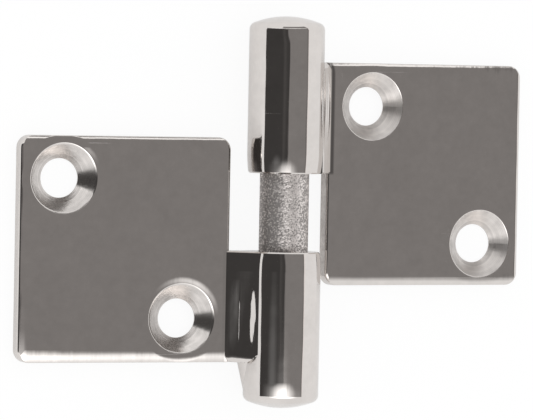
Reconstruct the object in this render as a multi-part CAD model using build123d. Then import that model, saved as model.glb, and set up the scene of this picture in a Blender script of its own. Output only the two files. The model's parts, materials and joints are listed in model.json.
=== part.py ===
from build123d import *
import math
import os

# Separating hinge in cast and polished stainless steel, millimetres.
#
# Two castings alike, each turned half a turn from the other, on one plain pin.
# The pin stands fast in the lower leaf's knuckle. The upper leaf's knuckle is
# only dropped over it, so the upper leaf swings and also lifts straight off.
#
# The hinge lies open on its back, part of the way apart, as it would on a bench:
# X runs across both leaves, Y runs along the pin and Z points out of the faces.
# The origin is on the surface that it lies on, under the middle of the bare pin.

# Leaf plate
LEAF_HEIGHT = 35.0
LEAF_REACH = 43.0
LEAF_START = 8.3
LEAF_THICKNESS = 2.5
LEAF_SET_BACK = 1.5
LEAF_CORNER_RADIUS = 2.0
FACE_EDGE_RADIUS = 0.6
BACK_EDGE_BREAK = 0.4

# Buffing rolls the face off gently before its edges, most at the leaf's two ends
END_ROLL_LENGTH = 2.0
END_ROLL_DROP = 0.28
SIDE_ROLL_LENGTH = 1.2
SIDE_ROLL_DROP = 0.16

# Knuckle: a barrel half as long as the leaf, and a domed end that stands past it
KNUCKLE_RADIUS = 5.9
KNUCKLE_PROJECTION = 7.05
KNUCKLE_FACE_RELIEF = 0.12
DOME_RADIUS = 14.0
DOME_WALL = 2.0
SHOULDER_RADIUS = 1.2
MOUTH_ROLL_LENGTH = 3.0
MOUTH_ROLL_DROP = 0.2
MOUTH_EDGE_BREAK = 0.2

# Neck between barrel and plate, and the tail that it fades into past the plate
NECK_FRONT_TANGENT = 60.0
NECK_FRONT_HOLLOW = 0.2
NECK_BACK_FILLET = 6.0
NECK_END_RADIUS = 1.4
TAIL_LENGTH = 5.0
TAIL_ROOT_RADIUS = 3.3
TAIL_TIP_RADIUS = 2.4
TAIL_ROOT_OUT = 3.6
TAIL_TIP_OUT = 3.0
TAIL_DEPTH = 1.5

# Pin and the two blind bores that take it
PIN_RADIUS = 3.85
PIN_TIP_CHAMFER = 0.5
PIN_SEAT_DEPTH = 14.0
PIN_SEAT_CLEARANCE = 0.02
PIN_RUNNING_CLEARANCE = 0.10
BORE_SPARE_DEPTH = 0.43

# Countersunk screw holes, one near the knuckle and one near the far corner
HOLE_RADIUS = 3.05
COUNTERSINK_RADIUS = 5.35
COUNTERSINK_ANGLE = 90.0
NEAR_HOLE_FROM_START = 7.9
NEAR_HOLE_FROM_END = 6.8
FAR_HOLE_FROM_EDGE = 7.1
FAR_HOLE_FROM_END = 6.6

# How far apart the two knuckles lie, face to face, in the resting position
EXPOSED_PIN = 12.2

# Margin for picking edges and corners by where they lie
PICK_MARGIN = 0.01

# Worked out from the sizes above
LEAF_FACE = -LEAF_SET_BACK
LEAF_BACK = LEAF_FACE - LEAF_THICKNESS
HALF_LEAF = LEAF_HEIGHT / 2
KNUCKLE_END = HALF_LEAF + KNUCKLE_PROJECTION
OPEN_BORE_DEPTH = KNUCKLE_END - KNUCKLE_FACE_RELIEF - DOME_WALL
PIN_PROJECTION = OPEN_BORE_DEPTH - BORE_SPARE_DEPTH


def resting_droop():
    """Angle by which a leaf tips back when barrel and outer edge lie on one surface."""
    reach = LEAF_REACH - BACK_EDGE_BREAK
    depth = -LEAF_BACK
    return math.degrees(math.asin(KNUCKLE_RADIUS / math.hypot(reach, depth)) - math.atan2(depth, reach))


def along_pin(radius, start, end):
    """Round bar on the pin's line, from one place along it to another."""
    bar = Cylinder(radius, end - start, align=(Align.CENTER, Align.CENTER, Align.MIN))
    return Pos(0, start, 0) * Rot(-90, 0, 0) * bar


def roll_radius(length, drop):
    """Radius of an arc that leaves a flat at a tangent and falls by drop over length."""
    return (length ** 2 + drop ** 2) / (2 * drop)


def leaf_plate():
    """Flat square plate with rounded corners and softly buffed edges."""
    with BuildSketch() as outline:
        with Locations(((LEAF_START + LEAF_REACH) / 2, 0)):
            Rectangle(LEAF_REACH - LEAF_START, LEAF_HEIGHT)
        corners = outline.vertices()
        loose = [c for c in corners if c.X > LEAF_START + PICK_MARGIN or c.Y < 0]
        fillet(loose, LEAF_CORNER_RADIUS)
    plate = Pos(0, 0, LEAF_BACK) * extrude(outline.sketch, LEAF_THICKNESS)
    plate = fillet(plate.edges().group_by(Axis.Z)[-1], FACE_EDGE_RADIUS)
    plate = chamfer(plate.edges().group_by(Axis.Z)[0], BACK_EDGE_BREAK)
    return plate & end_roll() & side_roll()


def end_roll():
    """Bar along X with the leaf's section across its two ends, where the face rolls off."""
    flat = HALF_LEAF - END_ROLL_LENGTH
    edge = LEAF_FACE - END_ROLL_DROP
    radius = roll_radius(END_ROLL_LENGTH, END_ROLL_DROP)
    with BuildSketch(Plane.YZ) as section:
        with BuildLine():
            Line((-flat, LEAF_FACE), (flat, LEAF_FACE))
            RadiusArc((flat, LEAF_FACE), (HALF_LEAF, edge), radius)
            Polyline((HALF_LEAF, edge), (HALF_LEAF, LEAF_BACK), (-HALF_LEAF, LEAF_BACK), (-HALF_LEAF, edge))
            RadiusArc((-HALF_LEAF, edge), (-flat, LEAF_FACE), radius)
        make_face()
    return extrude(section.sketch, 2 * LEAF_REACH, both=True)


def side_roll():
    """Bar along Y with the leaf's section from barrel to free side, where the face rolls off."""
    flat = LEAF_REACH - SIDE_ROLL_LENGTH
    edge = LEAF_FACE - SIDE_ROLL_DROP
    with BuildSketch(Plane.XZ) as section:
        with BuildLine():
            Line((0, LEAF_FACE), (flat, LEAF_FACE))
            RadiusArc((flat, LEAF_FACE), (LEAF_REACH, edge), roll_radius(SIDE_ROLL_LENGTH, SIDE_ROLL_DROP))
            Polyline((LEAF_REACH, edge), (LEAF_REACH, LEAF_BACK), (0, LEAF_BACK), (0, LEAF_FACE))
        make_face()
    return extrude(section.sketch, LEAF_HEIGHT, both=True)


def neck():
    """Web from barrel to plate, hollow in front, filleted behind, flush with the knuckle's face."""
    lean = math.radians(NECK_FRONT_TANGENT)
    front_start = (KNUCKLE_RADIUS * math.sin(lean), KNUCKLE_RADIUS * math.cos(lean))
    front_end = (LEAF_START + FACE_EDGE_RADIUS, LEAF_FACE)
    fillet_drop = NECK_BACK_FILLET - LEAF_BACK
    fillet_out = math.sqrt((KNUCKLE_RADIUS + NECK_BACK_FILLET) ** 2 - fillet_drop ** 2)
    share = KNUCKLE_RADIUS / (KNUCKLE_RADIUS + NECK_BACK_FILLET)
    back_start = (fillet_out, LEAF_BACK)
    back_end = (fillet_out * share, -fillet_drop * share)
    with BuildSketch(Plane.XZ) as section:
        with BuildLine():
            SagittaArc(front_start, front_end, -NECK_FRONT_HOLLOW)
            Polyline(front_end, (front_end[0], LEAF_BACK), back_start)
            RadiusArc(back_start, back_end, -NECK_BACK_FILLET)
            Polyline(back_end, (0, 0), front_start)
        make_face()
    web = Pos(0, KNUCKLE_FACE_RELIEF, 0) * extrude(section.sketch, KNUCKLE_FACE_RELIEF - HALF_LEAF)
    slope_ends = [e for e in web.edges()
                  if e.center().X > front_start[0] and e.center().Z > LEAF_FACE + PICK_MARGIN
                  and e.geom_type == GeomType.CIRCLE]
    slope_ends = ShapeList(slope_ends).sort_by(Axis.Y)
    web = chamfer(slope_ends[0], MOUTH_EDGE_BREAK)
    outer_end = [e for e in web.edges()
                 if e.center().Y > HALF_LEAF - PICK_MARGIN and e.center().X > front_start[0]
                 and e.center().Z > LEAF_FACE + PICK_MARGIN]
    return fillet(outer_end, NECK_END_RADIUS)


def tail():
    """Round swelling past the plate's end, which fades into the barrel's side."""
    start = HALF_LEAF - NECK_END_RADIUS
    root_plane = Plane(origin=(0, start, 0), z_dir=(0, 1, 0), x_dir=(1, 0, 0))
    tip_plane = Plane(origin=(0, HALF_LEAF + TAIL_LENGTH, 0), z_dir=(0, 1, 0), x_dir=(1, 0, 0))
    # On these planes the second direction points back, away from the faces.
    root = root_plane * Pos(TAIL_ROOT_OUT, TAIL_DEPTH, 0) * Circle(TAIL_ROOT_RADIUS)
    tip = tip_plane * Pos(TAIL_TIP_OUT, TAIL_DEPTH, 0) * Circle(TAIL_TIP_RADIUS)
    return loft([root, tip])


def barrel():
    """Knuckle's barrel: buffed thinner towards its square mouth, with a shallow dome for its end."""
    mouth = KNUCKLE_FACE_RELIEF
    mouth_radius = KNUCKLE_RADIUS - MOUTH_ROLL_DROP
    mouth_edge = (mouth_radius, mouth + MOUTH_EDGE_BREAK)
    straight_start = (KNUCKLE_RADIUS, mouth + MOUTH_ROLL_LENGTH)
    shoulder = (KNUCKLE_RADIUS, KNUCKLE_END - DOME_RADIUS + math.sqrt(DOME_RADIUS ** 2 - KNUCKLE_RADIUS ** 2))
    with BuildSketch() as profile:
        with BuildLine():
            Polyline((0, KNUCKLE_END), (0, mouth), (mouth_radius - MOUTH_EDGE_BREAK, mouth), mouth_edge)
            RadiusArc(mouth_edge, straight_start, -roll_radius(MOUTH_ROLL_LENGTH, MOUTH_ROLL_DROP))
            Line(straight_start, shoulder)
            RadiusArc(shoulder, (0, KNUCKLE_END), -DOME_RADIUS)
        make_face()
        corner = profile.vertices().sort_by_distance((*shoulder, 0))[0]
        fillet(corner, SHOULDER_RADIUS)
    return revolve(profile.sketch, Axis.Y)


def screw_holes():
    """Cutters for the two countersunk screw holes, driven in from the front face."""
    depth = (COUNTERSINK_RADIUS - HOLE_RADIUS) / math.tan(math.radians(COUNTERSINK_ANGLE / 2))
    near = (LEAF_START + NEAR_HOLE_FROM_START, HALF_LEAF - NEAR_HOLE_FROM_END)
    far = (LEAF_REACH - FAR_HOLE_FROM_EDGE, FAR_HOLE_FROM_END - HALF_LEAF)
    cutters = []
    for x, y in (near, far):
        through = Cylinder(HOLE_RADIUS, 4 * LEAF_THICKNESS)
        cone = Cone(HOLE_RADIUS, COUNTERSINK_RADIUS, depth, align=(Align.CENTER, Align.CENTER, Align.MAX))
        clear = Cylinder(COUNTERSINK_RADIUS, LEAF_THICKNESS, align=(Align.CENTER, Align.CENTER, Align.MIN))
        cutters.append(Pos(x, y, LEAF_FACE) * (through + cone + clear))
    return cutters


def bore(radius, depth):
    """Cutter for a blind bore that opens on the knuckle's flat face, with a broken mouth."""
    start = KNUCKLE_FACE_RELIEF
    mouth = Cone(radius + MOUTH_EDGE_BREAK, radius, MOUTH_EDGE_BREAK,
                 align=(Align.CENTER, Align.CENTER, Align.MIN))
    return along_pin(radius, start, start + depth) + Pos(0, start, 0) * Rot(-90, 0, 0) * mouth


def leaf_casting(bore_radius, bore_depth):
    """One whole casting on its own pin line, knuckle towards +Y and face towards +Z."""
    casting = leaf_plate() + neck() + tail() + barrel()
    for cutter in screw_holes():
        casting = casting - cutter
    return casting - bore(bore_radius, bore_depth)


def hinge_pin():
    """Plain round pin with a broken edge at each end, from its seat to its free tip."""
    pin = Cylinder(PIN_RADIUS, PIN_SEAT_DEPTH + PIN_PROJECTION, align=(Align.CENTER, Align.CENTER, Align.MIN))
    pin = chamfer(pin.edges().filter_by(GeomType.CIRCLE), PIN_TIP_CHAMFER)
    return Rot(-90, 0, 0) * pin


droop = resting_droop()
half_gap = EXPOSED_PIN / 2
casting_offset = half_gap - KNUCKLE_FACE_RELIEF

lower_casting = leaf_casting(PIN_RADIUS + PIN_SEAT_CLEARANCE, PIN_SEAT_DEPTH)
upper_casting = leaf_casting(PIN_RADIUS + PIN_RUNNING_CLEARANCE, OPEN_BORE_DEPTH)

nodes = {
    "lower_leaf": Pos(0, -casting_offset, KNUCKLE_RADIUS) * Rot(0, -droop, 0) * Rot(0, 0, 180) * lower_casting,
    "upper_leaf": Pos(0, casting_offset, KNUCKLE_RADIUS) * Rot(0, droop, 0) * upper_casting,
    "hinge_pin": Pos(0, -half_gap - PIN_SEAT_DEPTH, KNUCKLE_RADIUS) * hinge_pin(),
}

os.makedirs("parts", exist_ok=True)
for name, shape in nodes.items():
    export_step(shape, f"parts/{name}.step")
    box = shape.bounding_box()
    print(name, round(shape.volume, 1), [round(v, 3) for v in (*box.min, *box.max)])
print("droop", round(droop, 4))
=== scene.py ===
import json
import math

import bmesh
import bpy
from bpy.props import FloatProperty, FloatVectorProperty, IntProperty, PointerProperty
from bpy.types import Operator, Panel, PropertyGroup
from mathutils import Matrix, Vector


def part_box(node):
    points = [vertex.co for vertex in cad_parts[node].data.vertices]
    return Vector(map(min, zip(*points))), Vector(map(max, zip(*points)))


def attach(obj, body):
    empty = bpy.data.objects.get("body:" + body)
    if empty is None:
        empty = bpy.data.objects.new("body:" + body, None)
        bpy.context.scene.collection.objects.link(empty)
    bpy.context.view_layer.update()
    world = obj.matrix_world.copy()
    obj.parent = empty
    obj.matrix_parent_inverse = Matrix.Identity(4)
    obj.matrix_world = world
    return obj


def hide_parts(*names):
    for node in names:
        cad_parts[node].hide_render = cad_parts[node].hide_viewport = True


bl_info = {
    "name": "Separating Hinge",
    "version": (1, 0, 0),
    "blender": (4, 5, 0),
    "location": "View3D > Sidebar > Hinge",
    "description": "Dresses a take-apart hinge: two polished castings on a dull pin, on a white bench",
    "category": "Object",
}

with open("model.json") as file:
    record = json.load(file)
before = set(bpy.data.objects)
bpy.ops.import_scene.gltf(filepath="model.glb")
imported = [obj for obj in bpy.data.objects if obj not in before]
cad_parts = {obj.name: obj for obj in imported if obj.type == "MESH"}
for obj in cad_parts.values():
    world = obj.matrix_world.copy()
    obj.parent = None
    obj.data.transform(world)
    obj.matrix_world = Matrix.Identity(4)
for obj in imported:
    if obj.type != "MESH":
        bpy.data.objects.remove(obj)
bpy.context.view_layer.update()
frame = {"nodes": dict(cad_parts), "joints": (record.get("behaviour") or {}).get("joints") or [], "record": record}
MM = 0.001

# Where the castings lie, from the frame, and their sizes, the same as the solids have. A
# casting's own coordinates are in metres: X out along the leaf, Y towards the knuckle's
# dome, Z out of the face, with the pin's line as the Y axis and the leaf's middle at Y = 0.
PIN_HEIGHT = frame["joints"][0]["pos_m"][2]
SCREWS = {m["name"]: m for m in frame["record"]["mounts"]}
HALF_LEAF = 17.5 * MM
LEAF_START = 8.3 * MM
LEAF_REACH = 43.0 * MM
LEAF_FACE = -1.5 * MM
LEAF_BACK = -4.0 * MM
NEAR_HOLE = (16.2 * MM, 10.7 * MM)
FAR_HOLE = (35.9 * MM, -10.9 * MM)
RIM_RADIUS = 5.35 * MM
BORE_RADIUS = 4.2 * MM
KNUCKLE_RADIUS = 5.9 * MM
KNUCKLE_END = 24.55 * MM
NECK_TANGENT = math.radians(60)
NECK_TOP = Vector((KNUCKLE_RADIUS * math.sin(NECK_TANGENT), 0, KNUCKLE_RADIUS * math.cos(NECK_TANGENT)))
NECK_FOOT = Vector((8.9 * MM, 0, LEAF_FACE))
MERGE_DISTANCE = 0.5e-6

# Which of a casting's materials a face has
BUFFED, TURNED, AS_CAST, GROUND = range(4)

# How faces, rims and normals are told apart: how far off they may lie, and how they face
CLOSE = 0.1 * MM
SQUARELY = 0.9
BACK_SQUARELY = 0.95
CONE_RISE = 0.3
NECK_RISE = 0.1
SAME_WAY = 0.5
OFF_BARREL = 0.02 * MM
RIM_TOLERANCE = 0.16 * MM
RIM_DEPTH = 0.6 * MM
RIM_ANGLE = 0.3
RIM_INSIDE, RIM_OUTSIDE = -0.5, 1.5
LEANING = 0.01

# What buffing did to the face: how far from an edge each fall starts and ends, and how deep it is
ROLL_START, ROLL_END, ROLL_DEPTH = 4.3 * MM, 0.3 * MM, 0.23 * MM
SIDE_START, SIDE_END = 1.6 * MM, 0.1 * MM
DISH_INSIDE, DISH_OUTSIDE = 0.3 * MM, 1.5 * MM
END_WIDTH, FREE_CORNER_WIDTH, NECK_CORNER_EXTRA = 2.6 * MM, 5.5 * MM, 2.5 * MM
FREE_CORNER, NECK_CORNER = 8 * MM, 5 * MM
END_SLOPE, SLOPE_START, SLOPE_END = 0.022, -0.3 * MM, 0.7 * MM

# The two hollows down the neck's front: the shares of the way down at which each starts, is
# deepest and ends, its depth, and its middle and half its length along the pin's line. Then
# the painted shade line in the crease at the neck's foot: how it fades across, below the face
# and at its near end
WIDE_HOLLOW = {"shares": (0.02, 0.34, 0.95), "depth": 0.222 * MM, "middle": 10.5 * MM, "reach": 7.3 * MM}
THIN_HOLLOW = {"shares": (0.575, 0.615, 0.95), "depth": 0.052 * MM, "middle": 10.6 * MM, "reach": 6.0 * MM}
HOLLOW_RAGGEDNESS = 0.018
CREASE_START, CREASE_END = 0.03, 0.075
CREASE_LOW, CREASE_HIGH, CREASE_NEAR_END = 0.5 * MM, 0.3 * MM, 0.2 * MM

# The pin's dents, and the angle past which its edges are sharp
DENT_SCALE, DENT_SEED = 1500, 3.0
SHARP_EDGE = math.radians(30)

# Stage: half the bench's width and its height, the camera's aim off the pin's middle, its
# sensor and range, how finely the studio cards are divided, the place along a card at which
# its bow turns, and how ragged a card is
BENCH_HALF = 3.0
BENCH_LEVEL = -0.01 * MM
AIM_LEFT, AIM_UP = 2.711 * MM, 0.358 * MM
SENSOR_WIDTH = 36
NEAREST, FARTHEST = 0.01, 20
CARD_ACROSS, CARD_ALONG = 96, 24
WHITE = (1, 1, 1)
CARD_SIDES = ("Start", "End", "Low", "High")
BOW_MIDDLE = 0.48
CARD_RAGGEDNESS = 0.012

# Colour sockets of a Mix node, which share their names with its other sockets
MIX_FIRST, MIX_SECOND, MIX_RESULT = 6, 7, 2


def casting_place(node):
    """Matrix from a casting's own coordinates to the row frame."""
    low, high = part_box(node)
    normal = Vector(SCREWS[node + "_screws"]["axis"])
    turned = normal.x < 0
    droop = math.asin(abs(normal.x))
    along = high.y - HALF_LEAF if turned else low.y + HALF_LEAF
    place = Matrix.Translation((0, along, PIN_HEIGHT))
    if turned:
        return place @ Matrix.Rotation(-droop, 4, "Y") @ Matrix.Rotation(math.pi, 4, "Z")
    return place @ Matrix.Rotation(droop, 4, "Y")


# Sizes and colours that a user would change

class HingeCastingSettings(PropertyGroup):
    """Finish of the two castings."""
    steel_colour: FloatVectorProperty(
        name="Steel colour", description="Colour of the bare polished steel",
        subtype="COLOR", size=3, min=0, max=1, default=(0.68, 0.645, 0.62))
    polish_roughness: FloatProperty(
        name="Polish roughness", description="Roughness of the buffed faces",
        min=0, max=1, default=0.045)
    edge_tint: FloatProperty(
        name="Edge tint", description="Share of the light kept where the steel is seen edge on",
        min=0, max=1, default=0.93)
    lower_rim: FloatProperty(
        name="Lower rims", description="Width of the buffed break round the lower leaf's countersinks",
        unit="LENGTH", min=0, max=0.5 * MM, default=0.2 * MM)
    upper_rim: FloatProperty(
        name="Upper rims", description="Width of the buffed break round the upper leaf's countersinks",
        unit="LENGTH", min=0, max=0.5 * MM, default=0.11 * MM)
    lower_dish: FloatProperty(
        name="Lower dish", description="How far the wheel dipped round the lower leaf's countersinks",
        unit="LENGTH", min=0, default=0.17 * MM)
    upper_dish: FloatProperty(
        name="Upper dish", description="How far the wheel dipped round the upper leaf's countersinks",
        unit="LENGTH", min=0, default=0.03 * MM)
    lower_cone: FloatProperty(
        name="Lower cones", description="Roughness of the lower leaf's turned cones",
        min=0, max=1, default=0.2)
    upper_cone: FloatProperty(
        name="Upper cones", description="Roughness of the upper leaf's turned cones",
        min=0, max=1, default=0.36)
    # Crease settings: strength of the painted shade along the foot of each neck, dark colour standing in for the
    # shade in that crease
    lower_crease: FloatProperty(
        name="Lower crease", description="Old buffing compound left along the foot of the lower neck",
        min=0, max=1, default=0.1)
    upper_crease: FloatProperty(
        name="Upper crease", description="Old buffing compound left along the foot of the upper neck",
        min=0, max=1, default=1.0)
    lower_neck: FloatProperty(
        name="Lower neck", description="How much less steep the lower neck is left beside the barrel",
        subtype="ANGLE", default=math.radians(8))
    upper_neck: FloatProperty(
        name="Upper neck", description="How much less steep the upper neck is left beside the barrel",
        subtype="ANGLE", default=math.radians(26))
    lower_side: FloatProperty(
        name="Lower side", description="Extra fall of the lower leaf's face along its free side",
        unit="LENGTH", default=0.11 * MM)
    upper_side: FloatProperty(
        name="Upper side", description="Extra fall of the upper leaf's face along its free side",
        unit="LENGTH", default=-0.08 * MM)


class HingePinSettings(PropertyGroup):
    """Shape and finish of the pin."""
    colour: FloatVectorProperty(
        name="Pin colour", description="Colour of the dull pin",
        subtype="COLOR", size=3, min=0, max=1, default=(0.67, 0.63, 0.61))
    roughness: FloatProperty(
        name="Pin roughness", description="Roughness of the dull pin",
        min=0, max=1, default=0.46)
    tip_chamfer: FloatProperty(
        name="Tip chamfer", description="Broken edge at each end of the pin",
        unit="LENGTH", min=0, default=0.5 * MM)
    dent_depth: FloatProperty(
        name="Dent depth", description="How deep the blasted surface is dented",
        unit="LENGTH", min=0, default=0.008 * MM)
    ring_points: IntProperty(
        name="Points round", description="Points round the pin", min=12, max=256, default=96)


class HingeStageSettings(PropertyGroup):
    """Camera, floor and studio."""
    camera_turn: FloatProperty(
        name="Camera turn", description="How far the camera leans to the left of straight above",
        subtype="ANGLE", default=math.radians(24.7))
    camera_tip: FloatProperty(
        name="Camera tip", description="How far the camera leans towards the upper knuckle",
        subtype="ANGLE", default=math.radians(1.62))
    camera_roll: FloatProperty(
        name="Camera roll", description="How far the picture is turned clockwise",
        subtype="ANGLE", default=math.radians(1.09))
    camera_distance: FloatProperty(
        name="Camera distance", description="From the camera to the middle of the bare pin",
        unit="LENGTH", default=0.7905)
    lens: FloatProperty(
        name="Lens", description="Focal length in millimetres on a 36 mm sensor",
        min=1, default=342.6)
    card_radius: FloatProperty(
        name="Card radius", description="Distance of the studio cards from the pin",
        unit="LENGTH", default=0.5)
    black_card: FloatProperty(
        name="Black card", description="Brightness of the black studio card",
        min=0, max=1, default=0.057)
    grey_card: FloatProperty(
        name="Grey card", description="Brightness of the grey studio card",
        min=0, max=1, default=0.26)
    card_tint: FloatVectorProperty(
        name="Card tint", description="Tint of the studio cards",
        subtype="COLOR", size=3, min=0, max=2, default=(1.04, 1.0, 0.985))
    soft_box: FloatProperty(
        name="Soft box", description="Brightness of the soft box at its middle",
        min=0, default=3.2)
    floor_shade: FloatProperty(
        name="Floor shade", description="Share of the contact shadow that shows on the white bench",
        min=0, max=1, default=0.09)
    floor_in_steel: FloatProperty(
        name="Floor in steel", description="Share of the contact shadow that the steel mirrors",
        min=0, max=1, default=0.55)


# Shader building

def new_material(name):
    """Empty node material and its node tree."""
    material = bpy.data.materials.new(name)
    material.use_nodes = True
    material.node_tree.nodes.clear()
    return material, material.node_tree


def add(tree, kind, **values):
    """New node with its properties and its unlinked inputs set by name."""
    node = tree.nodes.new(kind)
    for key, value in values.items():
        if hasattr(node, key):
            setattr(node, key, value)
        else:
            node.inputs[key.replace("_", " ")].default_value = value
    return node


def math_node(tree, operation, first, second):
    """Result of one operation on two values or sockets."""
    node = tree.nodes.new("ShaderNodeMath")
    node.operation = operation
    for socket, value in zip(node.inputs, (first, second)):
        if isinstance(value, (int, float)):
            socket.default_value = value
        else:
            tree.links.new(value, socket)
    return node.outputs[0]


def span(tree, value, low, high, to_low=0.0, to_high=1.0, smooth=False):
    """Value taken from one range to another, and held at its ends."""
    node = add(tree, "ShaderNodeMapRange", interpolation_type="SMOOTHSTEP" if smooth else "LINEAR")
    for name, number in (("From Min", low), ("From Max", high), ("To Min", to_low), ("To Max", to_high)):
        node.inputs[name].default_value = number
    tree.links.new(value, node.inputs["Value"])
    return node.outputs["Result"]


def noise(tree, vector, scale=1.0, detail=2.0, roughness=0.5):
    """Value of a noise texture on a vector socket."""
    node = add(tree, "ShaderNodeTexNoise", Scale=scale, Detail=detail, Roughness=roughness)
    tree.links.new(vector, node.inputs["Vector"])
    return node.outputs["Fac"]


def stretched(tree, vector, scale, angle=0.0):
    """Vector socket turned about Z and scaled, for streaks."""
    node = add(tree, "ShaderNodeMapping")
    node.inputs["Rotation"].default_value = (0, 0, angle)
    node.inputs["Scale"].default_value = scale
    tree.links.new(vector, node.inputs["Vector"])
    return node.outputs["Vector"]


def group_tree(name, inputs, outputs):
    """New shader node group with named float or vector inputs and named float outputs."""
    tree = bpy.data.node_groups.new(name, "ShaderNodeTree")
    for label, kind, default in inputs:
        socket = tree.interface.new_socket(label, in_out="INPUT", socket_type=kind)
        if default is not None:
            socket.default_value = default
    for label in outputs:
        tree.interface.new_socket(label, in_out="OUTPUT", socket_type="NodeSocketFloat")
    return tree, tree.nodes.new("NodeGroupInput"), tree.nodes.new("NodeGroupOutput")


def hairline_group():
    """Sparse fine scratches at two angles, and the faint patches between them."""
    name = "handling_marks"
    if name in bpy.data.node_groups:
        return bpy.data.node_groups[name]
    inputs = [("Vector", "NodeSocketVector", None), ("Amount", "NodeSocketFloat", 1.0)]
    tree, source, result = group_tree(name, inputs, ("Scratches", "Mottle"))
    vector = source.outputs["Vector"]
    patches = span(tree, noise(tree, vector, scale=110), 0.5, 0.68)
    along = noise(tree, stretched(tree, vector, (260, 5200, 260), math.radians(14)), detail=1)
    across = noise(tree, stretched(tree, vector, (4200, 230, 230), math.radians(-31)), detail=1)
    lines = math_node(tree, "MAXIMUM", span(tree, along, 0.70, 0.80), span(tree, across, 0.72, 0.82))
    scratches = math_node(tree, "MULTIPLY", lines, patches)
    scratches = math_node(tree, "MULTIPLY", scratches, source.outputs["Amount"])
    mottle = noise(tree, vector, scale=700, detail=3, roughness=0.6)
    tree.links.new(scratches, result.inputs["Scratches"])
    tree.links.new(mottle, result.inputs["Mottle"])
    return tree


def marks(tree, vector, amount):
    """Scratches and mottle sockets of the shared group on a vector socket."""
    node = tree.nodes.new("ShaderNodeGroup")
    node.node_tree = hairline_group()
    node.inputs["Amount"].default_value = amount
    tree.links.new(vector, node.inputs["Vector"])
    return node.outputs["Scratches"], node.outputs["Mottle"]


def tinted(tree, amount, light, dark):
    """Colour socket between two colours by a value socket."""
    ramp = add(tree, "ShaderNodeValToRGB")
    ramp.color_ramp.elements[0].color = (*dark, 1)
    ramp.color_ramp.elements[1].color = (*light, 1)
    tree.links.new(amount, ramp.inputs["Fac"])
    return ramp.outputs["Color"]


def metal(tree, colour, roughness, height, edge_tint, depth=1.0):
    """Metal shader from colour, roughness and height sockets, with the height as bump."""
    bump = add(tree, "ShaderNodeBump", Strength=1.0, Distance=depth)
    tree.links.new(height, bump.inputs["Height"])
    shader = add(tree, "ShaderNodeBsdfPrincipled", Metallic=1.0)
    shader.inputs["Specular Tint"].default_value = (edge_tint, edge_tint, edge_tint, 1)
    tree.links.new(colour, shader.inputs["Base Color"])
    tree.links.new(roughness, shader.inputs["Roughness"])
    tree.links.new(bump.outputs["Normal"], shader.inputs["Normal"])
    output = tree.nodes.new("ShaderNodeOutputMaterial")
    tree.links.new(shader.outputs["BSDF"], output.inputs["Surface"])


def shade(colour, factor):
    """Colour made lighter or darker."""
    return tuple(c * factor for c in colour)


def scaled(tree, value, factor):
    """Value socket times a number."""
    return math_node(tree, "MULTIPLY", value, factor)


def neck_hollows(tree, own):
    """Height of the two shallow hollows that the buffing wheel left along the neck's front."""
    along = parts_of(tree, own)[1]
    ragged = span(tree, noise(tree, stretched(tree, own, (420, 130, 420))), 0.3, 0.7,
                  -HOLLOW_RAGGEDNESS, HOLLOW_RAGGEDNESS)
    share = math_node(tree, "ADD", neck_share(tree, own), ragged)
    wide = neck_hollow(tree, share, along, **WIDE_HOLLOW)
    thin = neck_hollow(tree, share, along, **THIN_HOLLOW)
    return math_node(tree, "ADD", wide, thin)


def neck_hollow(tree, share, along, shares, depth, middle, reach):
    """Height of one hollow, by the share of the way down the neck and the place along the pin's line."""
    return math_node(tree, "MULTIPLY", step_and_back(tree, share, *shares, -depth),
                     bulge(tree, along, middle, reach))


def step_and_back(tree, value, start, full, end, height):
    """Height that is reached from a first value to a second, and left again by a third."""
    there = span(tree, value, start, full, 0.0, height, smooth=True)
    return math_node(tree, "SUBTRACT", there, span(tree, value, full, end, 0.0, height, smooth=True))


def from_hole(tree, own):
    """Distance from the axis of the nearest screw hole."""
    flat = add(tree, "ShaderNodeVectorMath", operation="MULTIPLY")
    tree.links.new(own, flat.inputs[0])
    flat.inputs[1].default_value = (1, 1, 0)
    distances = []
    for hole in (NEAR_HOLE, FAR_HOLE):
        away = add(tree, "ShaderNodeVectorMath", operation="DISTANCE")
        tree.links.new(flat.outputs["Vector"], away.inputs[0])
        away.inputs[1].default_value = (*hole, 0)
        distances.append(away.outputs["Value"])
    return math_node(tree, "MINIMUM", *distances)


def rim_dishing(tree, own, dish):
    """Height of the face where the buffing wheel dipped into each countersink."""
    return span(tree, from_hole(tree, own), RIM_RADIUS - DISH_INSIDE, RIM_RADIUS + DISH_OUTSIDE,
                -dish, 0.0, smooth=True)


def parts_of(tree, vector):
    """X, Y and Z sockets of a vector socket."""
    split = add(tree, "ShaderNodeSeparateXYZ")
    tree.links.new(vector, split.inputs[0])
    return split.outputs


def end_dishing(tree, own):
    """Height of the face where it falls off towards the leaf's two ends, sooner near the corners."""
    x, y = parts_of(tree, own)[:2]
    free_width = span(tree, x, LEAF_REACH - FREE_CORNER, LEAF_REACH,
                      END_WIDTH, FREE_CORNER_WIDTH, smooth=True)
    neck_extra = span(tree, x, LEAF_START + NECK_CORNER, LEAF_START,
                      0.0, NECK_CORNER_EXTRA, smooth=True)
    width = math_node(tree, "ADD", free_width, neck_extra)
    to_end = math_node(tree, "SUBTRACT", HALF_LEAF, math_node(tree, "ABSOLUTE", y, 0.0))
    share = math_node(tree, "SUBTRACT", 1.0, math_node(tree, "DIVIDE", to_end, width))
    share = math_node(tree, "MAXIMUM", share, 0.0)
    fall = math_node(tree, "MULTIPLY", math_node(tree, "MULTIPLY", share, share), width)
    slope = span(tree, x, LEAF_START + SLOPE_START, LEAF_START + SLOPE_END, 0.0, -END_SLOPE, smooth=True)
    return math_node(tree, "MULTIPLY", fall, slope)


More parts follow.
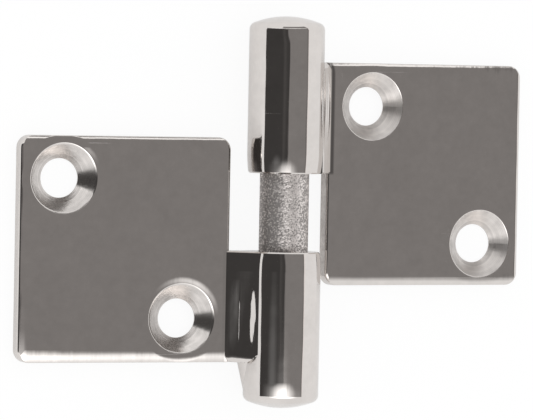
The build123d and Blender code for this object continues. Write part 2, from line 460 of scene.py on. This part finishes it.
def neck_share(tree, own):
    """How far down the neck's front a point is, from 0 at the barrel to 1 at the leaf's face."""
    slope = NECK_FOOT - NECK_TOP
    across = add(tree, "ShaderNodeVectorMath", operation="DOT_PRODUCT")
    tree.links.new(own, across.inputs[0])
    across.inputs[1].default_value = slope / slope.length_squared
    at_top = NECK_TOP.dot(slope) / slope.length_squared
    return math_node(tree, "SUBTRACT", across.outputs["Value"], at_top)


def crease(tree, own):
    """Mask of the painted shade line where the neck meets the face, dark colour standing in for the shade in its
    crease.
    """
    y, z = parts_of(tree, own)[1:]
    off = math_node(tree, "ABSOLUTE", math_node(tree, "SUBTRACT", neck_share(tree, own), 1.0), 0.0)
    line = span(tree, off, CREASE_START, CREASE_END, 1.0, 0.0, smooth=True)
    front = span(tree, z, LEAF_FACE - CREASE_LOW, LEAF_FACE - CREASE_HIGH)
    return math_node(tree, "MULTIPLY", math_node(tree, "MULTIPLY", line, front),
                     span(tree, y, -CREASE_NEAR_END, CREASE_NEAR_END))


def bulge(tree, value, middle, reach):
    """One at the middle of a stretch, falling as a parabola to nothing at its ends."""
    off = math_node(tree, "DIVIDE", math_node(tree, "SUBTRACT", value, middle), reach)
    left = math_node(tree, "SUBTRACT", 1.0, math_node(tree, "MULTIPLY", off, off))
    return math_node(tree, "MAXIMUM", left, 0.0)


def of_body(settings, body, name):
    """Value of a setting that each casting has of its own."""
    return getattr(settings, body + "_" + name)


def polished_material(settings, body):
    """Hand-buffed mirror finish, slightly wavy, with a few hairlines and a painted shade line along the neck's
    crease.
    """
    material, tree = new_material("buffed_" + body)
    vector = add(tree, "ShaderNodeTexCoord").outputs["Object"]
    own = add(tree, "ShaderNodeAttribute", attribute_name="own").outputs["Vector"]
    x, y = parts_of(tree, own)[:2]
    scratches, mottle = marks(tree, vector, 1.0)
    clouds = noise(tree, vector, scale=240, detail=3, roughness=0.6)
    cloudy = math_node(tree, "ADD", scaled(tree, mottle, 0.5), scaled(tree, clouds, 0.5))
    clean = tinted(tree, span(tree, cloudy, 0.3, 0.7), shade(settings.steel_colour, 1.06),
                   shade(settings.steel_colour, 0.94))
    # Painted shade: along the neck's crease the colour is mixed towards a dark 0.42 of the steel
    colour = add(tree, "ShaderNodeMix", data_type="RGBA")
    painted_crease_shade = scaled(tree, crease(tree, own), of_body(settings, body, "crease"))
    tree.links.new(painted_crease_shade, colour.inputs["Factor"])
    tree.links.new(clean, colour.inputs[MIX_FIRST])
    colour.inputs[MIX_SECOND].default_value = (*shade(settings.steel_colour, 0.42), 1)
    rough = settings.polish_roughness
    roughness = math_node(tree, "ADD", span(tree, mottle, 0.3, 0.7, rough * 0.8, rough * 1.3),
                          scaled(tree, scratches, 0.2))
    waves = scaled(tree, noise(tree, own, scale=190, detail=1), 0.018 * MM)
    streaks = scaled(tree, noise(tree, stretched(tree, own, (520, 45, 520))), 0.03 * MM)
    fine_streaks = scaled(tree, noise(tree, stretched(tree, own, (2300, 90, 2300))), 0.004 * MM)
    barrel_roll = span(tree, y, KNUCKLE_END - ROLL_START, KNUCKLE_END - ROLL_END,
                       0.0, -ROLL_DEPTH, smooth=True)
    side_roll = span(tree, x, LEAF_REACH - SIDE_START, LEAF_REACH - SIDE_END,
                     0.0, -of_body(settings, body, "side"), smooth=True)
    height = scaled(tree, mottle, 0.00025 * MM)
    for change in (waves, streaks, fine_streaks, barrel_roll, side_roll, end_dishing(tree, own),
                   rim_dishing(tree, own, of_body(settings, body, "dish")), neck_hollows(tree, own)):
        height = math_node(tree, "ADD", height, change)
    height = math_node(tree, "SUBTRACT", height, scaled(tree, scratches, 0.002 * MM))
    metal(tree, colour.outputs[MIX_RESULT], roughness, height, settings.edge_tint)
    return material


def machined_material(settings, body):
    """Turned cone of a countersink, with the cutter's rings."""
    material, tree = new_material("turned_cone_" + body)
    vector = add(tree, "ShaderNodeTexCoord").outputs["Object"]
    own = add(tree, "ShaderNodeAttribute", attribute_name="own").outputs["Vector"]
    one_line = add(tree, "ShaderNodeCombineXYZ")
    tree.links.new(from_hole(tree, own), one_line.inputs["X"])
    rings = noise(tree, one_line.outputs[0], scale=3000, roughness=0.7)
    scratches = marks(tree, vector, 0.5)[0]
    blotches = noise(tree, vector, scale=520)
    uneven = math_node(tree, "ADD", scaled(tree, blotches, 0.4), scaled(tree, rings, 0.6))
    colour = tinted(tree, span(tree, uneven, 0.36, 0.62), shade(settings.steel_colour, 1.12),
                    shade(settings.steel_colour, 0.80))
    rough = of_body(settings, body, "cone")
    roughness = math_node(tree, "ADD", span(tree, uneven, 0.3, 0.7, rough * 1.3, rough * 0.7),
                          scaled(tree, scratches, 0.3))
    height = math_node(tree, "ADD", scaled(tree, rings, 0.012 * MM), scaled(tree, blotches, 0.03 * MM))
    metal(tree, colour, roughness, height, settings.edge_tint)
    return material


def cast_material(settings):
    """Side left as it came from the mould: dull, grainy and pitted."""
    material, tree = new_material("as_cast_steel")
    vector = add(tree, "ShaderNodeTexCoord").outputs["Object"]
    mottle = marks(tree, vector, 0.0)[1]
    grain = noise(tree, vector, scale=2600, detail=3, roughness=0.7)
    both = math_node(tree, "ADD", scaled(tree, grain, 0.5), scaled(tree, mottle, 0.5))
    colour = tinted(tree, span(tree, both, 0.35, 0.65), shade(settings.steel_colour, 1.0),
                    shade(settings.steel_colour, 0.72))
    roughness = span(tree, both, 0.35, 0.65, 0.5, 0.4)
    metal(tree, colour, roughness, both, settings.edge_tint, depth=0.12 * MM)
    return material


def back_material(settings):
    """Ground back and bores, never buffed: a satin grain."""
    material, tree = new_material("ground_steel")
    vector = add(tree, "ShaderNodeTexCoord").outputs["Object"]
    scratches, mottle = marks(tree, vector, 0.5)
    grain = noise(tree, stretched(tree, vector, (300, 7000, 7000)))
    colour = tinted(tree, mottle, shade(settings.steel_colour, 0.98), shade(settings.steel_colour, 0.86))
    roughness = math_node(tree, "ADD", span(tree, grain, 0.3, 0.7, 0.2, 0.3), scratches)
    metal(tree, colour, roughness, grain, settings.edge_tint, depth=0.004 * MM)
    return material


def pin_material(settings):
    """Blasted bar: dull and mottled, with painted shade down its left and right sides and a painted sheen down its
    middle.
    """
    material, tree = new_material("blasted_pin")
    vector = add(tree, "ShaderNodeTexCoord").outputs["Object"]
    x = parts_of(tree, vector)[0]
    scratches = marks(tree, vector, 0.3)[0]
    grain = noise(tree, vector, scale=3400, detail=1, roughness=0.6)
    blotches = noise(tree, vector, scale=1100, roughness=0.6)
    both = math_node(tree, "ADD", scaled(tree, grain, 0.72), scaled(tree, blotches, 0.28))
    # Painted light: darker down the pin's left side, lighter down its middle, darker again down its right; this
    # also shifts its roughness
    left_shade_middle_sheen = span(tree, x, -2.9 * MM, -0.9 * MM, 0.07, -0.045, smooth=True)
    right_painted_shade = span(tree, x, 0.2 * MM, 2.0 * MM, 0.0, 0.09, smooth=True)
    both = math_node(tree, "SUBTRACT", both, math_node(tree, "ADD", left_shade_middle_sheen, right_painted_shade))
    colour = tinted(tree, span(tree, both, 0.42, 0.56), shade(settings.colour, 1.25),
                    shade(settings.colour, 0.5))
    rough = settings.roughness
    roughness = math_node(tree, "ADD", span(tree, both, 0.40, 0.58, rough * 1.2, rough * 0.85),
                          scaled(tree, scratches, 0.2))
    height = math_node(tree, "ADD", scaled(tree, grain, 0.055 * MM), scaled(tree, blotches, 0.05 * MM))
    metal(tree, colour, roughness, height, 1.0)
    return material


def in_scene(name, data):
    """New object with its data, in the scene."""
    piece = bpy.data.objects.new(name, data)
    bpy.context.scene.collection.objects.link(piece)
    return piece


# The two castings

def merged_copy(node, name):
    """Object with a merged copy of a CAD node's mesh, and the true normal of each of its corners."""
    source = frame["nodes"][node].data
    places, points, merged = {}, [], []
    for vertex in source.vertices:
        key = tuple(round(c / MERGE_DISTANCE) for c in vertex.co)
        if key not in places:
            places[key] = len(points)
            points.append(vertex.co.copy())
        merged.append(places[key])
    faces, normals = [], []
    for face in source.polygons:
        corners = [merged[v] for v in face.vertices]
        if len(set(corners)) < len(corners):
            continue
        faces.append(corners)
        for loop in face.loop_indices:
            normal = source.corner_normals[loop].vector
            normals.append(normal.copy() if normal.dot(face.normal) > SAME_WAY else face.normal.copy())
    mesh = bpy.data.meshes.new(name)
    mesh.from_pydata(points, [], faces)
    return in_scene(name, mesh), normals


def in_screw_hole(point):
    """Whether a point of the casting lies within the rim of a countersink and between the leaf's faces."""
    if not LEAF_BACK < point.z < LEAF_FACE:
        return False
    return any(math.hypot(point.x - hole[0], point.y - hole[1]) < RIM_RADIUS
               for hole in (NEAR_HOLE, FAR_HOLE))


def finish_of(centre, normal):
    """Which finish a face of the casting has, by where it lies and the way it faces."""
    if in_screw_hole(centre) and abs(normal.z) < SQUARELY:
        return TURNED if normal.z > CONE_RISE else GROUND
    if math.hypot(centre.x, centre.z) < BORE_RADIUS and centre.y < HALF_LEAF:
        return GROUND
    if normal.x < -SQUARELY and abs(centre.x - LEAF_START) < CLOSE:
        return AS_CAST
    if normal.z < -BACK_SQUARELY and abs(centre.z - LEAF_BACK) < CLOSE:
        return GROUND
    return BUFFED


def dress_casting(piece, place, materials):
    """Gives a casting its materials, one to each face by its finish, and its own coordinates."""
    mesh = piece.data
    for material in materials:
        mesh.materials.append(material)
    home = place.inverted()
    turn = home.to_3x3()
    for face in mesh.polygons:
        face.material_index = finish_of(home @ face.center, turn @ face.normal)
        face.use_smooth = True
    own = mesh.attributes.new("own", "FLOAT_VECTOR", "POINT")
    for vertex in mesh.vertices:
        own.data[vertex.index].vector = home @ vertex.co


def rim_normal(point, width):
    """Normal of the rounded rim of a countersink, or None away from both rims."""
    for hole in (NEAR_HOLE, FAR_HOLE):
        outwards = Vector((point.x - hole[0], point.y - hole[1], 0))
        inner = RIM_RADIUS - width * math.sqrt(0.5)
        share = (outwards.length - inner) / (width + RIM_RADIUS - inner)
        if RIM_INSIDE < share < RIM_OUTSIDE:
            share = min(max(share, 0), 1)
            cone = (Vector((0, 0, 1)) - outwards.normalized()).normalized()
            return (cone * (1 - share) + Vector((0, 0, 1)) * share).normalized()
    return None


def soften_rims(piece, place, normals, width):
    """Rounds the rim of each countersink, and returns the normals of all the corners."""
    home = place.inverted()
    bm = bmesh.new()
    bm.from_mesh(piece.data)
    kept = bm.loops.layers.float_vector.new("kept_normal")
    for loop, normal in zip((loop for face in bm.faces for loop in face.loops), normals):
        loop[kept] = normal
    rims = []
    for edge in bm.edges:
        ends = [home @ vertex.co for vertex in edge.verts]
        for hole in (NEAR_HOLE, FAR_HOLE):
            on_rim = all(abs(math.hypot(end.x - hole[0], end.y - hole[1]) - RIM_RADIUS) < RIM_TOLERANCE
                         and end.z > LEAF_FACE - RIM_DEPTH for end in ends)
            if on_rim and edge.calc_face_angle() > RIM_ANGLE:
                rims.append(edge)
    rounded = bmesh.ops.bevel(bm, geom=rims, offset=width, segments=3, profile=0.5, affect="EDGES")
    for face in rounded["faces"]:
        for loop in face.loops:
            normal = rim_normal(home @ loop.vert.co, width)
            if normal:
                loop[kept] = place.to_3x3() @ normal
    result = [loop[kept].copy() for face in bm.faces for loop in face.loops]
    bm.to_mesh(piece.data)
    bm.free()
    return result


def on_neck_front(centre, normal):
    """Whether a face of the casting is part of the neck's front, between the barrel and the leaf's face."""
    off_barrel = math.hypot(centre.x, centre.z) > KNUCKLE_RADIUS + OFF_BARREL
    beside_face = centre.z > LEAF_FACE and centre.x < NECK_FOOT.x and centre.y < HALF_LEAF
    return off_barrel and beside_face and normal.x > NECK_RISE


def flatten_neck(piece, place, normals, angle):
    """Tips the normals of the neck's front up, most beside the barrel, and eases their lean at its end."""
    home = place.inverted()
    slope = NECK_FOOT - NECK_TOP
    for face in piece.data.polygons:
        if not on_neck_front(home @ face.center, home.to_3x3() @ face.normal):
            continue
        for loop in face.loop_indices:
            point = home @ piece.data.vertices[piece.data.loops[loop].vertex_index].co
            share = min(max((point - NECK_TOP).dot(slope) / slope.length_squared, 0), 1)
            turn = Matrix.Rotation(-angle * (1 - share), 3, "Y")
            normal = home.to_3x3() @ normals[loop]
            if normal.y > LEANING:
                sideways = Vector((normal.x, 0, normal.z)).normalized()
                lean = math.asin(min(normal.y, 1))
                lean = lean * lean / (math.pi / 2)
                normal = sideways * math.cos(lean) + Vector((0, math.sin(lean), 0))
            normals[loop] = place.to_3x3() @ turn @ normal


class HINGE_OT_castings(Operator):
    """Dress the two leaves, each cast in one piece with its knuckle"""
    bl_idname = "hinge.castings"
    bl_label = "Castings"

    def execute(self, context):
        settings = context.scene.hinge_castings
        shared = [cast_material(settings), back_material(settings)]
        for node, body in (("lower_leaf", "lower"), ("upper_leaf", "upper")):
            piece, normals = merged_copy(node, node + "_casting")
            place = casting_place(node)
            normals = soften_rims(piece, place, normals, of_body(settings, body, "rim"))
            flatten_neck(piece, place, normals, of_body(settings, body, "neck"))
            materials = [polished_material(settings, body), machined_material(settings, body), *shared]
            dress_casting(piece, place, materials)
            piece.data.normals_split_custom_set(normals)
            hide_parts(node)
            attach(piece, body)
        return {"FINISHED"}


# The pin

def pin_tree(material):
    """Geometry tree of a round bar along Y with chamfered ends and a dented surface."""
    tree = bpy.data.node_groups.new("blasted_bar", "GeometryNodeTree")
    for label, kind in (("Radius", "NodeSocketFloat"),
                        ("Start", "NodeSocketVector"), ("End", "NodeSocketVector"),
                        ("Chamfer", "NodeSocketFloat"), ("Dent Depth", "NodeSocketFloat"),
                        ("Points Round", "NodeSocketInt"), ("Points Along", "NodeSocketInt"),
                        ("Seed", "NodeSocketFloat")):
        tree.interface.new_socket(label, in_out="INPUT", socket_type=kind)
    tree.interface.new_socket("Geometry", in_out="OUTPUT", socket_type="NodeSocketGeometry")
    source = tree.nodes.new("NodeGroupInput").outputs
    result = tree.nodes.new("NodeGroupOutput")
    link = tree.links.new
    line = tree.nodes.new("GeometryNodeCurvePrimitiveLine")
    link(source["Start"], line.inputs["Start"])
    link(source["End"], line.inputs["End"])
    along = tree.nodes.new("GeometryNodeResampleCurve")
    link(line.outputs["Curve"], along.inputs["Curve"])
    link(source["Points Along"], along.inputs["Count"])
    place = tree.nodes.new("GeometryNodeSplineParameter")
    whole = tree.nodes.new("GeometryNodeSplineLength")
    from_start = place.outputs["Length"]
    from_end = math_node(tree, "SUBTRACT", whole.outputs["Length"], from_start)
    nearest = math_node(tree, "MINIMUM", from_start, from_end)
    missing = math_node(tree, "MAXIMUM", math_node(tree, "SUBTRACT", source["Chamfer"], nearest), 0.0)
    radius = math_node(tree, "SUBTRACT", source["Radius"], missing)
    ring = tree.nodes.new("GeometryNodeCurvePrimitiveCircle")
    link(source["Points Round"], ring.inputs["Resolution"])
    ring.inputs["Radius"].default_value = 1.0
    bar = tree.nodes.new("GeometryNodeCurveToMesh")
    bar.inputs["Fill Caps"].default_value = True
    link(along.outputs["Curve"], bar.inputs["Curve"])
    link(ring.outputs["Curve"], bar.inputs["Profile Curve"])
    link(radius, bar.inputs["Scale"])
    dents = tree.nodes.new("ShaderNodeTexNoise")
    dents.noise_dimensions = "4D"
    dents.inputs["Scale"].default_value = DENT_SCALE
    dents.inputs["Detail"].default_value = 1.0
    position = tree.nodes.new("GeometryNodeInputPosition")
    link(position.outputs["Position"], dents.inputs["Vector"])
    link(source["Seed"], dents.inputs["W"])
    normal = tree.nodes.new("GeometryNodeInputNormal")
    inwards = tree.nodes.new("ShaderNodeVectorMath")
    inwards.operation = "SCALE"
    link(normal.outputs["Normal"], inwards.inputs["Vector"])
    depth = math_node(tree, "MULTIPLY", dents.outputs["Fac"], source["Dent Depth"])
    link(math_node(tree, "MULTIPLY", depth, -1.0), inwards.inputs["Scale"])
    dented = tree.nodes.new("GeometryNodeSetPosition")
    link(bar.outputs["Mesh"], dented.inputs["Geometry"])
    link(inwards.outputs["Vector"], dented.inputs["Offset"])
    real = tree.nodes.new("GeometryNodeRealizeInstances")
    link(dented.outputs["Geometry"], real.inputs["Geometry"])
    finish = tree.nodes.new("GeometryNodeSetMaterial")
    finish.inputs["Material"].default_value = material
    link(real.outputs["Geometry"], finish.inputs["Geometry"])
    link(finish.outputs["Geometry"], result.inputs["Geometry"])
    return tree


def baked(tree, name, **values):
    """Object with the plain mesh that a geometry tree makes from its named inputs."""
    holder = in_scene(name + "_holder", bpy.data.meshes.new(name + "_holder"))
    modifier = holder.modifiers.new(name, "NODES")
    modifier.node_group = tree
    sockets = {s.name: s.identifier for s in tree.interface.items_tree if s.in_out == "INPUT"}
    for label, value in values.items():
        modifier[sockets[label.replace("_", " ")]] = value
    shown = holder.evaluated_get(bpy.context.evaluated_depsgraph_get())
    mesh = bpy.data.meshes.new_from_object(shown)
    mesh.name = name
    bpy.data.objects.remove(holder)
    return in_scene(name, mesh)


class HINGE_OT_pin(Operator):
    """Make the dull pin that stands in the lower knuckle"""
    bl_idname = "hinge.pin"
    bl_label = "Pin"

    def execute(self, context):
        settings = context.scene.hinge_pin
        low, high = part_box("hinge_pin")
        middle = (low + high) / 2
        spacing = settings.tip_chamfer / 2
        piece = baked(pin_tree(pin_material(settings)), "round_pin",
                      Radius=(high.x - low.x) / 2,
                      Start=(middle.x, low.y, middle.z), End=(middle.x, high.y, middle.z),
                      Chamfer=settings.tip_chamfer, Dent_Depth=settings.dent_depth,
                      Points_Round=settings.ring_points,
                      Points_Along=round((high.y - low.y) / spacing) + 1, Seed=DENT_SEED)
        for face in piece.data.polygons:
            face.use_smooth = True
        piece.data.set_sharp_from_angle(angle=SHARP_EDGE)
        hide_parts("hinge_pin")
        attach(piece, "pin")
        return {"FINISHED"}


# Floor, studio and camera

def white_world():
    """Even white all round, from which every ray that misses comes back white."""
    world = bpy.data.worlds.new("white_room")
    world.use_nodes = True
    bpy.context.scene.world = world
    background = world.node_tree.nodes["Background"]
    background.inputs["Color"].default_value = (*WHITE, 1)
    background.inputs["Strength"].default_value = 1.0


def floor_material(settings):
    """White bench top, with a light contact shadow to the camera and a darker one in the steel."""
    material, tree = new_material("white_bench")
    white = add(tree, "ShaderNodeBsdfDiffuse", Color=(*WHITE, 1))
    glow = add(tree, "ShaderNodeEmission", Color=(*WHITE, 1))
    path = add(tree, "ShaderNodeLightPath")
    to_camera = scaled(tree, path.outputs["Is Camera Ray"], 1 - settings.floor_shade)
    to_steel = scaled(tree, path.outputs["Is Glossy Ray"], 1 - settings.floor_in_steel)
    shown = tree.nodes.new("ShaderNodeMixShader")
    tree.links.new(math_node(tree, "MAXIMUM", to_camera, to_steel), shown.inputs[0])
    tree.links.new(white.outputs[0], shown.inputs[1])
    tree.links.new(glow.outputs[0], shown.inputs[2])
    output = tree.nodes.new("ShaderNodeOutputMaterial")
    tree.links.new(shown.outputs[0], output.inputs["Surface"])
    return material


def card_group():
    """Mask of a card by its own two coordinates, soft by a given share at each of its four sides."""
    name = "soft_sides"
    if name in bpy.data.node_groups:
        return bpy.data.node_groups[name]
    inputs = [("Vector", "NodeSocketVector", None)]
    inputs += [(side, "NodeSocketFloat", 0.1) for side in CARD_SIDES]
    tree, source, result = group_tree(name, inputs, ("Mask",))
    across, along = parts_of(tree, source.outputs["Vector"])[:2]
    from_sides = (across, math_node(tree, "SUBTRACT", 1.0, across),
                  along, math_node(tree, "SUBTRACT", 1.0, along))
    mask = 1.0
    for side, distance in zip(CARD_SIDES, from_sides):
        ramp = add(tree, "ShaderNodeMapRange", interpolation_type="SMOOTHSTEP")
        tree.links.new(distance, ramp.inputs["Value"])
        tree.links.new(source.outputs[side], ramp.inputs["From Max"])
        mask = math_node(tree, "MULTIPLY", mask, ramp.outputs["Result"])
    tree.links.new(mask, result.inputs["Mask"])
    return tree


def card_material(name, stops, tint=WHITE, soft=None, bow=0.0):
    """Glow of a card, by brightness at stops across it, clear at its four sides or all round."""
    material, tree = new_material(name)
    flat = add(tree, "ShaderNodeUVMap", uv_map="bend").outputs["UV"]
    across, along = parts_of(tree, flat)[:2]
    off = math_node(tree, "SUBTRACT", along, BOW_MIDDLE)
    across = math_node(tree, "ADD", across, scaled(tree, math_node(tree, "MULTIPLY", off, off), bow))
    drift = noise(tree, stretched(tree, flat, (38, 2.5, 1)), detail=3)
    across = math_node(tree, "ADD", across, span(tree, drift, 0.3, 0.7, -CARD_RAGGEDNESS, CARD_RAGGEDNESS))
    bowed = add(tree, "ShaderNodeCombineXYZ")
    tree.links.new(across, bowed.inputs["X"])
    tree.links.new(along, bowed.inputs["Y"])
    place = bowed.outputs["Vector"]
    ramp = add(tree, "ShaderNodeValToRGB")
    elements = ramp.color_ramp.elements
    elements.remove(elements[1])
    top = max(value for position, value in stops)
    elements[0].position, elements[0].color = stops[0][0], (*shade(tint, stops[0][1] / top), 1)
    for position, value in stops[1:]:
        elements.new(position).color = (*shade(tint, value / top), 1)
    tree.links.new(across, ramp.inputs["Fac"])
    glow = add(tree, "ShaderNodeEmission", Strength=top)
    tree.links.new(ramp.outputs["Color"], glow.inputs["Color"])
    if soft is None:
        centre = add(tree, "ShaderNodeVectorMath", operation="DISTANCE")
        tree.links.new(place, centre.inputs[0])
        centre.inputs[1].default_value = (0.5, 0.5, 0)
        mask = span(tree, centre.outputs["Value"], 0.5, 0.0, smooth=True)
    else:
        sides = tree.nodes.new("ShaderNodeGroup")
        sides.node_tree = card_group()
        tree.links.new(place, sides.inputs["Vector"])
        for side, share in zip(CARD_SIDES, soft):
            sides.inputs[side].default_value = share
        mask = sides.outputs["Mask"]
    card = tree.nodes.new("ShaderNodeMixShader")
    tree.links.new(mask, card.inputs[0])
    tree.links.new(tree.nodes.new("ShaderNodeBsdfTransparent").outputs[0], card.inputs[1])
    tree.links.new(glow.outputs[0], card.inputs[2])
    output = tree.nodes.new("ShaderNodeOutputMaterial")
    tree.links.new(card.outputs[0], output.inputs["Surface"])
    return material


def seen_in_metal_only(piece):
    """Hides a stage piece from everything but reflections."""
    piece.visible_camera = False
    piece.visible_diffuse = False
    piece.visible_transmission = False
    piece.visible_volume_scatter = False
    piece.visible_shadow = False


def hang_card(name, mesh):
    """Puts a studio card in the scene, seen in the metal only."""
    card = in_scene(name, mesh)
    seen_in_metal_only(card)


def bent_card(name, radius, turns, tips, stops, **look):
    """Card bent round the pin's line, between two turns off straight up and two tips along it."""
    low, high = (radius * math.tan(math.radians(tip)) for tip in tips)
    start, end = (math.radians(turn) for turn in turns)
    bm = bmesh.new()
    bend = bm.loops.layers.uv.new("bend")
    rows = []
    for i in range(CARD_ACROSS + 1):
        angle = start + (end - start) * i / CARD_ACROSS
        x, z = radius * math.sin(angle), PIN_HEIGHT + radius * math.cos(angle)
        places = [low + (high - low) * j / CARD_ALONG for j in range(CARD_ALONG + 1)]
        rows.append([bm.verts.new((x, y, z)) for y in places])
    for i in range(CARD_ACROSS):
        for j in range(CARD_ALONG):
            steps = ((i, j), (i, j + 1), (i + 1, j + 1), (i + 1, j))
            face = bm.faces.new([rows[u][v] for u, v in steps])
            for loop, (u, v) in zip(face.loops, steps):
                loop[bend].uv = (u / CARD_ACROSS, v / CARD_ALONG)
    mesh = bpy.data.meshes.new(name)
    bm.to_mesh(mesh)
    bm.free()
    mesh.materials.append(card_material(name, stops, **look))
    hang_card(name, mesh)


def low_card(settings):
    """Black card that lies flat on the bench, beyond the lower leaf's free side."""
    start, end = -50 * MM, -490 * MM
    near, far = -4 * MM, 90 * MM
    level = 0.05 * MM
    mesh = bpy.data.meshes.new("low_card")
    corners = [(start, near, level), (start, far, level), (end, far, level), (end, near, level)]
    mesh.from_pydata(corners, [], [(0, 1, 2, 3)])
    bend = mesh.uv_layers.new(name="bend")
    for loop, uv in zip(bend.data, ((0, 0), (0, 1), (1, 1), (1, 0))):
        loop.uv = uv
    mesh.materials.append(card_material("low_card", [(0.0, settings.black_card)], tint=settings.card_tint,
                                        soft=(0, 0, 0.05, 0.1)))
    hang_card("low_card", mesh)


def make_floor(settings):
    """Bench top, a hair under what lies on it."""
    mesh = bpy.data.meshes.new("bench")
    signs = ((-1, -1), (1, -1), (1, 1), (-1, 1))
    mesh.from_pydata([(x * BENCH_HALF, y * BENCH_HALF, BENCH_LEVEL) for x, y in signs], [], [(0, 1, 2, 3)])
    mesh.materials.append(floor_material(settings))
    floor = in_scene("bench", mesh)


def make_cards(settings):
    """Cards and lights round the hinge, which the polished steel mirrors. A nearer one hides a farther."""
    radius, tint = settings.card_radius, settings.card_tint
    black, grey = settings.black_card, settings.grey_card
    black_stops = [(0.0, black), (0.72, black), (0.81, black * 1.5), (0.89, black * 1.1), (1.0, black)]
    grey_stops = [(0.0, grey), (0.90, grey), (0.925, grey * 0.8), (0.955, grey * 0.8), (0.978, 1.0)]
    bent_card("black_card", radius, turns=(-91, -14), tips=(-25, 27), stops=black_stops,
              tint=tint, soft=(0.011, 0.05, 0.20, 0.08), bow=1.2)
    bent_card("grey_card", radius * 1.02, turns=(-40, 47), tips=(-26, 52), stops=grey_stops,
              tint=tint, soft=(0.01, 0.01, 0.15, 0.06))
    bent_card("soft_box", radius * 0.96, turns=(-68, 34), tips=(-44, -4), stops=[(0.0, settings.soft_box)])
    bent_card("window_gleam", radius * 0.94, turns=(-70, -31), tips=(-13, -2), stops=[(0.0, 0.18)])
    bent_card("side_light", radius * 0.97, turns=(-88, -3), tips=(-44, -5), stops=[(0.0, 1.0)],
              soft=(0.9, 0.06, 0.3, 0.3))
    bent_card("light_strip", radius * 0.98, turns=(-80, 44), tips=(26.5, 31), stops=[(0.0, 1.3)],
              soft=(0.05, 0.05, 0.3, 0.3))
    low_card(settings)


def make_camera(settings):
    """Camera at the photo's angle, aimed a little to the left of the pin's middle."""
    target = Vector((0, 0, PIN_HEIGHT))
    turn, tip, roll = settings.camera_turn, settings.camera_tip, settings.camera_roll
    back = Vector((-math.sin(turn) * math.cos(tip), math.sin(tip), math.cos(turn) * math.cos(tip)))
    right = Vector((0, 1, 0)).cross(back).normalized()
    up = back.cross(right)
    right, up = (right * math.cos(roll) + up * math.sin(roll),
                 up * math.cos(roll) - right * math.sin(roll))
    aim = target - right * AIM_LEFT + up * AIM_UP
    place = target + back * settings.camera_distance
    back = (place - aim).normalized()
    right = up.cross(back).normalized()
    up = back.cross(right)
    data = bpy.data.cameras.new("camera")
    data.sensor_width = SENSOR_WIDTH
    data.lens = settings.lens
    data.clip_start, data.clip_end = NEAREST, FARTHEST
    camera = in_scene("camera", data)
    camera.matrix_world = Matrix.Translation(place) @ Matrix((right, up, back)).transposed().to_4x4()
    bpy.context.scene.camera = camera


class HINGE_OT_stage(Operator):
    """Lay out the white bench, the studio cards and the camera"""
    bl_idname = "hinge.stage"
    bl_label = "Stage"

    def execute(self, context):
        settings = context.scene.hinge_stage
        context.scene.view_settings.view_transform = "Standard"
        white_world()
        make_floor(settings)
        make_cards(settings)
        make_camera(settings)
        return {"FINISHED"}


class HINGE_PT_build(Panel):
    """Sidebar panel with the hinge's pieces and their sizes"""
    bl_idname = "HINGE_PT_build"
    bl_label = "Separating Hinge"
    bl_space_type = "VIEW_3D"
    bl_region_type = "UI"
    bl_category = "Hinge"

    def draw(self, context):
        for operator, owner in ((HINGE_OT_castings, "hinge_castings"), (HINGE_OT_pin, "hinge_pin"),
                                (HINGE_OT_stage, "hinge_stage")):
            settings = getattr(context.scene, owner)
            box = self.layout.box()
            box.operator(operator.bl_idname)
            for name in settings.__annotations__:
                box.prop(settings, name)


SETTINGS = {
    "hinge_castings": HingeCastingSettings,
    "hinge_pin": HingePinSettings,
    "hinge_stage": HingeStageSettings,
}
CLASSES = (*SETTINGS.values(), HINGE_OT_castings, HINGE_OT_pin, HINGE_OT_stage, HINGE_PT_build)


def register():
    for cls in CLASSES:
        bpy.utils.register_class(cls)
    for name, group in SETTINGS.items():
        setattr(bpy.types.Scene, name, PointerProperty(type=group))


def unregister():
    for name in SETTINGS:
        delattr(bpy.types.Scene, name)
    for cls in reversed(CLASSES):
        bpy.utils.unregister_class(cls)


def main():
    register()
    bpy.ops.hinge.castings()
    bpy.ops.hinge.pin()
    bpy.ops.hinge.stage()


if __name__ == "__main__":
    main()
